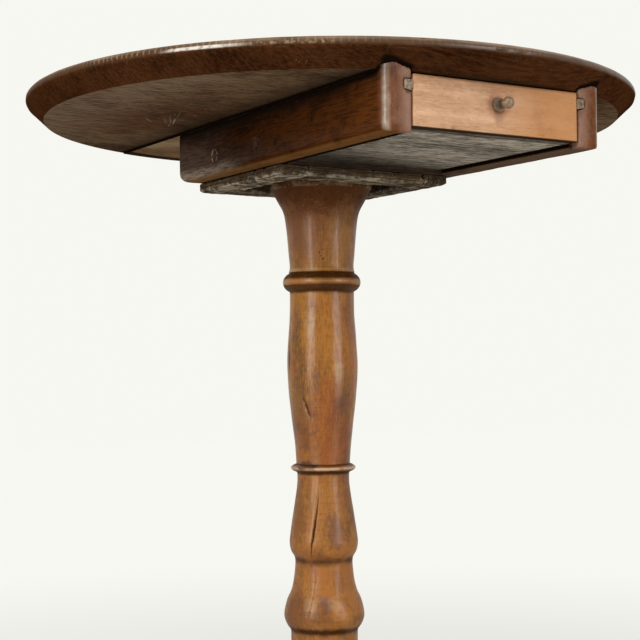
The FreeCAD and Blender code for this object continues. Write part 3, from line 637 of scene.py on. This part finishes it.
def bearer_look(name, side):
    """Dark stain with a little old polish on the outer faces, worn and dry in places, with painted shadow
    under the top and beside the drawer and a painted highlight on the front corner.
    """
    look = Finish(name, "Y", (0.03 * side, 0.1 * side, -0.64), (0.0085, 0.0026, 0.0008),
                  (0.037, 0.0115, 0.0026), ring_spacing=0.0045, streak_width=0.0016, rings=0.3,
                  streaks=0.85, pores=0.45, flecks=0.36, edge_radius=0.004)
    # Redder toward the front, and dry and grey along the lower edge at the rear.
    long_streaks = look.step(look.streaks, 0.1, 0.8, 0.5)
    look.coat((0.091, 0.027, 0.0054), look.step(look.y, 0.02, -0.28), long_streaks, 0.85)
    look.coat((0.105, 0.058, 0.04), look.step(look.y, -0.03, 0.1), long_streaks, 0.6)
    height = look.ragged(look.z, 0.014, 60.0, 4.0, 0.55, look.scaled((1, 0.25, 1)))
    rear_low = look.mask(look.step(height, 0.6905, 0.6795), look.step(look.y, -0.06, 0.09))
    look.coat((0.25, 0.19, 0.14), rear_low, look.step(look.streaks, 0.1, 0.8, 0.35), 0.95)
    look.coat((0.155, 0.08, 0.038), look.edges, look.step(look.z, 0.7235, 0.72), 0.45)
    # The underside, and painted shadow in the gap beside the drawer.
    under = look.step(look.z, 0.678, 0.6757)
    look.coat((0.165, 0.075, 0.024) if side < 0 else (0.125, 0.087, 0.06), under, 0.8)
    if side < 0:
        painted_gap_shadow = look.mask(under, look.step(look.across, 0.1035, 0.1015))
    else:
        painted_gap_shadow = look.mask(look.between(look.z, 0.6766, 0.678, 0.688, 0.7),
                                  look.step(look.x, 0.0975, 0.0955))
    look.coat((0.004, 0.0024, 0.0016), painted_gap_shadow, 0.98)
    # The front end with its darker end fibres and the rubbed corner.
    nose = look.step(look.y, -0.273, -0.287)
    look.coat((0.15, 0.05, 0.019), nose, 0.75)
    pale_nose = look.patches(75.0, 0.36, 0.7, 6.0, 0.75)
    look.coat((0.26, 0.145, 0.09), nose, pale_nose, 0.35)
    end_fibres = look.patches(330.0, 0.52, 0.66, 5.0, 0.7, place=look.scaled((1, 1, 0.22)))
    look.coat((0.06, 0.02, 0.0085), nose, end_fibres, 0.6)
    look.coat((0.36, 0.225, 0.165), nose, look.step(look.across, 0.111, 0.0965), 0.5)
    # The front end with its darker end fibres, and the rubbed corner, painted pale also as its highlight.
    off_corner = look.calc("ADD", look.apart(look.across, corner_wear_and_highlight_x), look.apart(look.y, corner_wear_and_highlight_y))
    rubbed_corner_and_highlight = look.step(off_corner, 0.0078, 0.0022)
    look.coat((0.34, 0.29, 0.22), rubbed_corner_and_highlight, look.patches(50.0, 0.38, 0.55, 4.0, start=0.35), 0.62)
    # Painted shadow close under the top, which follows the bevel at the front.
    past_flat = look.most(look.calc("SUBTRACT", look.from_axis(), flat_radius), 0.0)
    below_top = look.ragged(look.calc("MULTIPLY_ADD", past_flat, -bevel_slope, look.z), -0.002, 90.0)
    off_end = look.step(look.y, -0.2865, -0.2845)
    look.coat((0.0055, 0.003, 0.002), look.step(below_top, 0.7215, 0.726), off_end, 0.95)
    soft_painted_shadow = look.ragged(below_top, 0.016, 50.0, 3.0, 0.55, look.scaled((1, 0.4, 1)))
    look.coat((0.0085, 0.005, 0.0034), look.step(soft_painted_shadow, 0.709, 0.7245),
              look.step(look.y, -0.262, -0.18, 0.35), off_end, 0.85)
    look.coat((0.42, 0.33, 0.26), nose, look.step(look.z, 0.729, 0.7335), pale_nose, 0.55)
    look.worn(dirt=(0.45, (0.0095, 0.004, 0.002)), scratches=(0.32, (0.16, 0.095, 0.055)),
              dents=(0.6, (0.012, 0.006, 0.004)))
    # Plugged holes, and rings round the pegs where the stain is gone.
    for y, z, size in ((-0.096, 0.6915, 0.0042), (0.02, 0.704, 0.0013)):
        plug = look.away((side * bearer_outside, y, z))
        look.coat((0.014, 0.008, 0.005), look.step(plug, size * 1.08, size * 0.92), 0.75)
    for y, pale in ((0.035, 0.75), (-0.056, 0.06)):
        ring = look.between(look.away((side * bearer_outside, y, peg_height)), 0.0048, 0.0054, 0.0062, 0.008)
        look.coat((0.3, 0.235, 0.16), ring, look.patches(210.0, 0.46, 0.56), pale)
    return look.done(0.36, rough=((rear_low, 0.28), (look.streaks, 0.1), (look.dirt, 0.15)),
                     sunk=((look.dents, 0.8), (look.scratches, 0.3)), bump=0.0005, polish_roughness=0.24,
                     polish=look.mask(look.step(look.z, 0.6785, 0.682),
                                      look.calc("MULTIPLY_ADD", rubbed_corner_and_highlight, 0.55, 0.1)))


for side, sign in (("left", -1), ("right", 1)):
    rail = worn_copy("bearer_" + side, 0.0013)
    for vert in rail.verts:
        if vert.co.y < -0.27:
            rounding = max(abs(vert.co.x) - 0.113, 0.0) * 0.22
            vert.co.z = min(vert.co.z, bearer_end_top - rounding)
    rail.normal_update()
    roughen(rail, 0.045, 0.0005, 8.0 + sign)
    add_piece("bearer_rail_" + side, rail, [bearer_look("stained_bearer_" + side, sign)],
              replaces=("bearer_" + side,))

# Each screw sits deep in a pocket, and a wooden pellet closes the pocket flush with the bearer.
pellet_radius, pellet_thick, screw_head_radius = 0.0052, 0.003, 0.0043
screw_low, screw_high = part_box("bearer_screws")
first_y, last_y = screw_low.y + screw_head_radius, screw_high.y - screw_head_radius
pellets = bmesh.new()
for x in (screw_low.x + screw_head_radius, screw_high.x - screw_head_radius):
    for share in (0.0, 0.5, 1.0):
        place = Vector((x, first_y + (last_y - first_y) * share, bearer_under + pellet_thick / 2))
        bmesh.ops.create_cone(pellets, cap_ends=True, segments=40, radius1=pellet_radius,
                              radius2=pellet_radius, depth=pellet_thick, matrix=Matrix.Translation(place))
add_piece("screw_pellets", pellets, [bearer_look("stained_pellets", -1)], smooth=False)

look = Finish("dark_peg_ends", "X", (0, 0, -peg_height), (0.012, 0.006, 0.004), (0.05, 0.026, 0.014),
              ring_spacing=0.0012, streak_width=0.0011, rings=0.6, pores=0.5, stain=0.4)
dress(("block_pegs",), look.done(0.55, rough=((look.rings, 0.15),), bump=0.0003, specular=0.12))

# ------------------------------------------------------------------ round top
# Three boards, dowelled edge to edge and then sawn round. The upper edge of the rim is rounded
# over and worn in small ticks, and a wide bevel runs under it. The bevel and the top are stained
# and varnished; the underside was left dry from the plane, and the middle board is paler there.
top_steps = 480
nosing_middle, nosing_height, nosing_radius = 0.3138, 0.7488, 0.0062
seam, seam_gap = 0.1215, 0.0003
side_under = 0.7295
rim_ticks = 330.0
nose_x = 0.1078
top_line = profile((728, 0), (728, 100), (728, 200), (728, 270), (728, 299.5), (728.3, 300.4), (733.5, 306),
                   (739.1, 312), (743.6, 316.8))
for number in range(11):
    turn = math.radians(-48 + 138 * number / 10)
    top_line.append(Vector((nosing_middle + nosing_radius * math.cos(turn), 0.0,
                            nosing_height + nosing_radius * math.sin(turn))))
top_line += profile((755, 305), (755, 270), (755, 200), (755, 100), (755, 0))


def top_board(low_x, high_x, under):
    """One board of the top, cut out of the whole disc. Nothing is cut off where a limit is None."""
    work = turned(top_line, top_steps)
    for vert in work.verts:
        radius = math.hypot(vert.co.x, vert.co.y)
        if radius > 0.31 and vert.co.z > 0.744:
            angle = math.atan2(vert.co.y, vert.co.x)
            bite = noise.noise(Vector((math.cos(angle), math.sin(angle), vert.co.z * 30)) * 26)
            nick = max(bite - 0.42, 0.0) * 0.006 + 0.0003 * (1 + noise.noise(vert.co * 60))
            vert.co.x -= nick * vert.co.x / radius
            vert.co.y -= nick * vert.co.y / radius
    for axis, limit, outward in ((0, low_x, -1), (0, high_x, 1), (2, under, -1)):
        if limit is None:
            continue
        point, direction = Vector(), Vector()
        point[axis], direction[axis] = limit, outward
        found = bmesh.ops.bisect_plane(work, geom=work.verts[:] + work.edges[:] + work.faces[:], dist=1e-7,
                                       plane_co=point, plane_no=direction, clear_outer=True)
        rim = [item for item in found["geom_cut"] if isinstance(item, bmesh.types.BMEdge)]
        bmesh.ops.holes_fill(work, edges=rim, sides=0)
    bmesh.ops.recalc_face_normals(work, faces=work.faces)
    for face in work.faces:
        flat_below = face.normal.z < -0.98 and face.calc_center_median().z < side_under + 0.001
        face.material_index = 1 if flat_below else 0
        face.smooth = max(abs(face.normal.x), abs(face.normal.z)) < 0.999
    return work


def stained_look(name, heart):
    """Dark stain and varnish of the bevel, the rim and the upper side, rubbed through at the edge, with a
    painted glint along the rim and painted shadow over the bearer ends.
    """
    look = Finish(name, "X", heart, (0.02, 0.0064, 0.0022), (0.066, 0.0235, 0.008), ring_spacing=0.0045,
                  streak_width=0.0026, rings=0.14, streaks=0.55, pores=0.45, stain=0.6)
    radius = look.from_axis()
    band = look.mask(look.step(radius, 0.314, 0.3165), look.step(look.z, 0.7455, 0.7495))
    look.coat((0.095, 0.05, 0.021), band, 0.45)
    # Painted shadow on the bevel in the gap over each bearer's front end.
    look.coat((0.0045, 0.0025, 0.0016), look.step(look.apart(look.across, nose_x), 0.0165, 0.0135),
              look.between(look.y, -0.292, -0.2895, -0.268, -0.262), look.step(look.z, 0.7415, 0.7385), 0.93)
    # The pale upper edge is worn wood and also a painted highlight.
    worn_and_lit_upper_edge = look.mask(look.step(radius, 0.313, 0.315), look.step(look.z, 0.7505, 0.7528))
    look.coat((0.3, 0.202, 0.125), worn_and_lit_upper_edge, look.patches(11.0, 0.4, 0.62, 6.0, 0.62, 0.2), 0.66)
    upper_side = look.step(look.z, 0.7535, 0.7546)
    look.coat((0.105, 0.041, 0.015), upper_side, look.step(look.rings, 0.25, 0.85), 0.5)
    look.coat((0.15, 0.074, 0.034), upper_side, look.patches(7.0, 0.48, 0.66, 4.0, 0.6), look.streaks, 0.5)
    # Ticks worn into the rim, then a painted glint along it: a pale line, and pale spots where it fades.
    angle = look.calc("ARCTAN2", look.y, look.x)
    round_rim = look.calc("MULTIPLY_ADD", look.clouds(30.0, 2.0), 11.0, look.mask(angle, rim_ticks))
    waves = look.calc("SINE", round_rim)
    ticks = look.mask(look.step(waves, 0.35, 1.0), look.step(look.z, 0.7474, 0.75), band,
                      look.step(look.x, -0.12, -0.24, 0.3), look.patches(18.0, 0.4, 0.56))
    look.coat((0.32, 0.215, 0.13), ticks, 0.5)
    painted_glint_height = look.mask(look.between(look.z, 0.7472, 0.7486, 0.75, 0.7513),
                           look.step(radius, 0.315, 0.3165))
    look.coat((0.74, 0.68, 0.6), painted_glint_height, look.between(angle, -2.62, -2.54, -2.44, -2.31),
              look.patches(160.0, 0.36, 0.52, start=0.35), 0.82)
    look.coat((0.46, 0.32, 0.18), painted_glint_height, look.between(angle, -2.42, -2.33, -2.15, -2.07),
              look.patches(240.0, 0.46, 0.62, 4.0), 0.4)
    look.worn(edges=(0.3, (0.16, 0.085, 0.045)), dirt=(0.4, (0.013, 0.005, 0.0024)),
              scratches=(0.3, (0.2, 0.12, 0.07)), dents=(0.5, (0.016, 0.008, 0.005)))
    look.coat((0.005, 0.003, 0.002), look.step(look.apart(look.across, seam), 0.002, 0.0007),
              look.step(look.z, 0.7325, 0.7305), 0.95)
    rim_polish = look.mask(band, look.step(look.x, -0.2, -0.06, 0.22, 0.68))
    return look.done(0.26, rough=((look.stain, 0.1), (look.dirt, 0.14), (ticks, 0.2)),
                     sunk=((look.dents, 0.8), (look.scratches, 0.3), (ticks, 0.6)), polish_roughness=0.3,
                     polish=look.calc("ADD", rim_polish, look.mask(upper_side, 0.4)))


# Gouges in the dry wood: middle, direction in degrees, half length, half width and how pale.
gouges = (
    (-0.1744, 0.009, 71.5, 0.0214, 0.0009, 0.22), (-0.1615, 0.0476, 70.0, 0.02, 0.001, 0.62),
    (-0.1645, 0.05, 68.5, 0.01, 0.0006, 0.35), (-0.169, 0.041, 64.5, 0.036, 0.0006, 0.28),
    (-0.1565, 0.0715, 64.0, 0.006, 0.0012, 0.45), (-0.1726, 0.0463, 64.0, 0.017, 0.0006, 0.24),
    (-0.1899, 0.0498, 52.4, 0.0175, 0.0008, 0.4), (-0.1782, 0.0097, 61.5, 0.004, 0.0009, 0.26),
    (-0.1661, 0.0582, 10.0, 0.0022, 0.0016, 0.4),
)


def dry_look(name, heart, dark, light, near_bearer):
    """Planed underside that never had a finish, with the scratches of a coarse plane."""
    look = Finish(name, "X", heart, dark, light, ring_spacing=0.008, streak_width=0.0016, rings=0.22,
                  streaks=0.95, pores=0.65, stain=0.55, flecks=0.5)
    look.coat((0.105, 0.04, 0.019), look.patches(9.0, 0.47, 0.64), 0.55)
    look.worn(dirt=(0.4, [0.35 * channel for channel in dark]))
    look.coat((0.3, 0.24, 0.18), look.patches(210.0, 0.7, 0.76, 2.0), 0.25)
    look.worn(scratches=(0.45, (0.36, 0.29, 0.22)))
    if not near_bearer:
        look.coat((0.02, 0.0085, 0.004), look.step(look.from_axis(), 0.279, 0.283), 0.92)
        look.coat((0.005, 0.003, 0.002), look.step(look.across, seam - 0.002, seam - 0.0007), 0.95)
    else:
        # Paler toward the rim; painted shade darkens the underside near the bearer, and a painted shadow lies
        # along it over the dark seam.
        look.coat((0.24, 0.172, 0.118), look.step(look.across, 0.18, 0.27), look.streaks, 0.8)
        look.coat((0.018, 0.0105, 0.0065), look.step(look.across, 0.172, 0.118), 0.62)
        look.coat((0.005, 0.003, 0.002), look.step(look.across, 0.13, 0.1225), 0.95)
        for x, y, degrees, half_length, half_width, strength in gouges:
            stroke = look.put("Mapping", {"Vector": look.place, "Location": (x, y, side_under),
                                          "Rotation": (0, 0, math.radians(degrees)),
                                          "Scale": (half_length, half_width, 1)}, vector_type="TEXTURE")
            away = look.vector("LENGTH", stroke.outputs[0])["Value"]
            look.coat((0.36, 0.31, 0.26), look.step(away, 1.2, 0.4), strength)
    return look.done(0.66, rough=((look.pores, 0.15),), sunk=((look.scratches, 0.5), (look.dents, 0.5)),
                     bump=0.0006)


side_heart, centre_heart = (0.0, 0.35, -0.7), (0.0, 0.12, -0.66)
side_finishes = [stained_look("stained_top_side_boards", side_heart)]
centre_finishes = [stained_look("stained_top_centre_board", centre_heart)]
side_finishes.append(dry_look("dry_underside_side_boards", side_heart, (0.046, 0.024, 0.0115),
                              (0.178, 0.112, 0.064), True))
centre_finishes.append(dry_look("dry_underside_centre_board", centre_heart, (0.165, 0.105, 0.055),
                                (0.38, 0.265, 0.15), False))
top_boards = (
    ("centre", -seam, seam, None, "top_centre_wood", centre_finishes),
    ("left", None, -seam - seam_gap, side_under, "top_wood", side_finishes),
    ("right", seam + seam_gap, None, side_under, "top_wood", side_finishes),
)
for side, low_x, high_x, under, wood, finishes in top_boards:
    piece = add_piece("round_top_board_" + side, top_board(low_x, high_x, under), finishes,
                      replaces=("top_board_" + side,), smooth=False)
    soften = piece.modifiers.new("soft_arris", "BEVEL")
    soften.width = 0.0005
    soften.segments = 2
    soften.limit_method = "ANGLE"
    soften.angle_limit = math.radians(40)
    soften.harden_normals = True

# ------------------------------------------------------------------ drawer
# A small drawer hung on side runners. The front is pale tan fruitwood, once polished, and the
# bottom board, which shows from below, is dry and grey. Sides and back are plain pale wood.
drawer_face_y = -0.288
look = Finish("tan_drawer_front", "X", (0.0, 0.335, -0.66), (0.335, 0.17, 0.084), (0.6, 0.364, 0.22),
              ring_spacing=0.011, streak_width=0.0026, rings=0.28, streaks=0.3, pores=0.25, stain=0.6,
              flecks=0.25, edge_radius=0.002)
to_knob = look.away((0, drawer_face_y, 0.7065))
look.coat((0.3, 0.105, 0.04), look.step(look.ragged(to_knob, 0.02, 80.0, 4.0), 0.016, 0.006), 0.75)
look.coat((0.06, 0.024, 0.012), look.step(to_knob, 0.0092, 0.007), 0.8)
# Painted shadow below the knob.
painted_knob_shadow_spot = look.away((0, drawer_face_y, 0.6945))
look.coat((0.21, 0.135, 0.095), look.step(painted_knob_shadow_spot, 0.008, 0.002), 0.5)
figure = look.patches(36.0, 0.42, 0.68, 4.0, 0.6, place=look.scaled((1, 1, 1.6)))
look.coat((0.7, 0.455, 0.3), figure, 0.38)
look.coat((0.44, 0.188, 0.063), look.step(look.x, -0.02, 0.06), 0.76)
freckles = look.patches(420.0, 0.6, 0.7, 3.0, 0.6, place=look.scaled((0.3, 1, 1)))
look.coat((0.24, 0.105, 0.048), freckles, 0.35)
look.worn(edges=(0.5, (0.26, 0.125, 0.06)), dirt=(0.22, (0.24, 0.115, 0.055)),
          scratches=(0.5, (0.2, 0.095, 0.045)), dents=(0.5, (0.17, 0.075, 0.035)))
# Painted shade on the lower face of the front.
look.coat((0.013, 0.007, 0.0042), look.step(look.z, 0.6816, 0.6806), 0.95)
look.coat((0.26, 0.125, 0.055), look.step(look.z, 0.7235, 0.7255), 0.55)
front_finish = look.done(0.42, rough=((look.stain, 0.08), (look.dirt, 0.12)),
                         sunk=((look.dents, 0.9), (look.scratches, 0.3)),
                         polish=look.step(look.z, 0.6825, 0.685, 0.0, 0.14), polish_roughness=0.36)
add_piece("drawer_face", worn_copy("drawer_front", 0.0009), [front_finish], body="drawer",
          replaces=("drawer_front",))


def plain_board(node, rounding=0.0006):
    """Straight board that fills a made part's place, with its arrises eased."""
    low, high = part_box(node)
    work = bmesh.new()
    bmesh.ops.create_cube(work, size=1.0)
    bmesh.ops.scale(work, vec=high - low, verts=work.verts)
    bmesh.ops.translate(work, vec=(low + high) / 2, verts=work.verts)
    bmesh.ops.bevel(work, geom=work.edges[:], offset=rounding, segments=2, profile=0.5, affect="EDGES",
                    material=-1)
    return work


def inner_look(name, along, heart, dark, light, grey, painted_shade=False):
    """Bare wood, greyed and lined with dirt; the bottom board also has painted shade at its borders."""
    look = Finish(name, along, heart, dark, light, ring_spacing=0.005, streak_width=0.0024, streaks=0.7,
                  pores=0.5, edge_radius=0.002)
    look.coat((0.215, 0.2, 0.18), look.streaks, grey)
    dark_lines = look.patches(260.0, 0.5, 0.62, 5.0, 0.78, place=look.scaled((0.16, 1, 1), look.along))
    look.coat([0.4 * channel for channel in dark], dark_lines, 0.8)
    look.worn(dirt=(0.45, (0.055, 0.045, 0.036)), edges=(0.35, (0.33, 0.29, 0.24)),
              scratches=(0.5, (0.34, 0.31, 0.27)))
    if painted_shade:
        # Painted shade beside the walls, toward the rear left corner and along the front.
        shade_at_sides = look.mask(look.step(look.across, 0.088, 0.0905), look.step(look.z, 0.6815, 0.6808))
        toward_corner = look.calc("MULTIPLY_ADD", look.x, -0.45, look.y)
        shade_toward_rear_corner = look.step(toward_corner, -0.175, -0.07, 0.0, 0.85)
        before = look.step(look.y, -0.2685, -0.27, 0.0, 0.6)
        look.coat((0.012, 0.009, 0.007), look.most(shade_at_sides, shade_toward_rear_corner, before))
    return look.done(0.68, rough=((look.pores, 0.15),), sunk=((dark_lines, 0.5), (look.scratches, 0.4)),
                     bump=0.0007)


bottom_finish = inner_look("grey_drawer_bottom", "X", (0.0, 0.22, -0.66), (0.085, 0.072, 0.056),
                           (0.6, 0.525, 0.425), 0.35, painted_shade=True)
side_finish = inner_look("pale_drawer_sides", "Y", (0.06, 0.0, -0.68), (0.27, 0.165, 0.085),
                         (0.46, 0.31, 0.175), 0.12)
back_finish = inner_look("pale_drawer_back", "X", (0.0, 0.1, -0.66), (0.26, 0.155, 0.08),
                         (0.44, 0.295, 0.165), 0.12)
runner_finish = inner_look("grey_drawer_runners", "Y", (0.1, 0.0, -0.7), (0.17, 0.115, 0.075),
                           (0.34, 0.255, 0.18), 0.3)
drawer_boards = (
    ("drawer_bottom", "drawer_floor_board", bottom_finish),
    ("drawer_side_left", "drawer_wall_left", side_finish),
    ("drawer_side_right", "drawer_wall_right", side_finish),
    ("drawer_back", "drawer_wall_back", back_finish),
)
for node, name, finish in drawer_boards:
    add_piece(name, plain_board(node), [finish], body="drawer", replaces=(node,))
for side in ("left", "right"):
    add_piece("drawer_slide_" + side, worn_copy("drawer_runner_" + side, 0.0007, 2), [runner_finish],
              body="drawer", replaces=("drawer_runner_" + side,))

# ------------------------------------------------------------------ knob
# Small turned knob: a rounded bead against the drawer, a thin neck and a ball, olive-brown under
# thick old varnish, with painted shade in the neck.
knob_height = 0.70675
bead_middle, bead_radius = -0.2901, 0.0049
ball_middle, ball_radius, ball_start = -0.3025, 0.0055, 38
knob_line = [(0.0, -0.27), (0.0035, -0.27), (0.0035, -0.2885), (bead_radius, -0.2886)]
for number in range(9):
    turn = math.pi * number / 8
    knob_line.append((bead_radius + 0.0016 * math.sin(turn), bead_middle + 0.0015 * math.cos(turn)))
knob_line += [(0.004, -0.29175), (0.0035, -0.2926), (0.00335, -0.2944), (0.0033, -0.2962), (0.0034, -0.2976)]
for number in range(12):
    turn = math.radians(ball_start + (180 - ball_start) * number / 12)
    knob_line.append((ball_radius * math.sin(turn), ball_middle + ball_radius * math.cos(turn)))
knob_line.append((0.0, ball_middle - ball_radius))
knob = turned([(radius, y, 0.0) for radius, y in knob_line], 72, axis=(0, 1, 0))
bmesh.ops.translate(knob, verts=knob.verts, vec=(0.0, 0.0, knob_height))
knob.normal_update()
roughen(knob, 0.004, 0.00012, 2.0)
look = Finish("olive_knob", "Y", (0.0, 0.0, -0.706), (0.095, 0.058, 0.03), (0.245, 0.165, 0.098),
              ring_spacing=0.003, streak_width=0.0011, rings=0.3, streaks=0.6, pores=0.3, edge_radius=0.001)
# Painted shade in the neck between the bead and the ball.
look.coat((0.03, 0.017, 0.01), look.between(look.y, -0.2985, -0.296, -0.2922, -0.2908), 0.75)
look.coat((0.03, 0.017, 0.01), look.step(look.y, -0.288, -0.2872), 0.8)
look.worn(dirt=(0.5, (0.05, 0.03, 0.018)))
knob_finish = look.done(0.3, rough=((look.streaks, 0.14),), bump=0.0002, specular=0.35)
add_piece("turned_knob", knob, [knob_finish], body="drawer", replaces=("drawer_knob",))

# ------------------------------------------------------------------ stage
# Pale paper floor that fades into the backdrop, tall soft lamps either side of the camera, one
# more above the left of it, and an even pale surrounding.


def seen_plainly(bench):
    """Mask for what the camera, a mirror image or clear glass shows."""
    rays = bench.put("LightPath").outputs
    return bench.most(rays["Is Camera Ray"], rays["Is Glossy Ray"], rays["Is Transmission Ray"])


paper = bpy.data.materials.new("pale_paper")
paper.use_nodes = True
sheet = Bench(paper.node_tree)
sheet.tree.nodes.clear()
plain = sheet.put("BsdfDiffuse", {"Color": (0.82, 0.82, 0.79, 1.0)})
white = sheet.put("Emission", {"Color": (0.94, 0.94, 0.89, 1.0), "Strength": 1.0})
from_middle = sheet.vector("LENGTH", sheet.put("TexCoord").outputs["Object"])["Value"]
washed_out = sheet.mask(seen_plainly(sheet), sheet.step(from_middle, 0.4, 1.9, 0.68, 0.99))
washed = sheet.put("MixShader", {0: washed_out, 1: plain.outputs[0], 2: white.outputs[0]})
sheet.put("OutputMaterial", {"Surface": washed.outputs[0]})
floor = bmesh.new()
bmesh.ops.create_grid(floor, x_segments=2, y_segments=2, size=6.0)
floor_mesh = bpy.data.meshes.new("studio_floor")
floor.to_mesh(floor_mesh)
floor.free()
floor_mesh.materials.append(paper)
studio_floor = new_object("studio_floor", floor_mesh)

world = bpy.data.worlds.new("studio")
bpy.context.scene.world = world
world.use_nodes = True
air = Bench(world.node_tree)
air.tree.nodes.clear()
dim = air.put("Background", {"Color": (1.0, 0.985, 0.95, 1.0), "Strength": 0.26})
bright = air.put("Background", {"Color": (0.93, 0.93, 0.88, 1.0), "Strength": 1.0})
choose = air.put("MixShader", {0: seen_plainly(air), 1: dim.outputs[0], 2: bright.outputs[0]})
air.put("OutputWorld", {"Surface": choose.outputs[0]})

# Each lamp has its angle, distance, height, width, tallness, power and colour.
lamps = {
    "lamp_right": (23.0, 2.6, 0.95, 0.8, 1.9, 31.5, (1.0, 0.98, 0.95)),
    "lamp_left": (-69.0, 2.6, 0.95, 0.88, 1.9, 38.5, (1.0, 0.985, 0.96)),
    "lamp_over": (-50.0, 1.9, 2.5, 1.9, 0.9, 31.0, (1.0, 0.99, 0.97)),
}
for name, (degrees, distance, height, width, tall, power, colour) in lamps.items():
    lamp = bpy.data.lights.new(name, "AREA")
    lamp.shape = "RECTANGLE"
    lamp.size, lamp.size_y = width, tall
    lamp.energy = power
    lamp.color = colour
    holder = new_object(name, lamp)
    turn = math.radians(degrees)
    holder.location = (distance * math.sin(turn), -distance * math.cos(turn), height)
    aim = Vector((0.0, column_y, 0.5)) - holder.location
    holder.rotation_euler = aim.to_track_quat("-Z", "Y").to_euler()

camera = bpy.data.cameras.new("camera")
camera.sensor_width = 36.0
camera.lens = 78.75
viewer = new_object("camera", camera)
bpy.context.scene.camera = viewer
camera_place = Vector((-0.7816, -1.2743, 0.48))
facing, pitch, roll = 0.5418, 0.0285, 0.008
look_along = Vector((math.sin(facing) * math.cos(pitch), math.cos(facing) * math.cos(pitch), math.sin(pitch)))
side_way = look_along.cross(Vector((0, 0, 1))).normalized()
up_way = side_way.cross(look_along)
turned_side = side_way * math.cos(roll) - up_way * math.sin(roll)
turned_up = up_way * math.cos(roll) + side_way * math.sin(roll)
axes = Matrix((turned_side, turned_up, -look_along)).transposed().to_4x4()
viewer.matrix_world = Matrix.Translation(camera_place) @ axes

bpy.context.scene.view_settings.view_transform = "Standard"
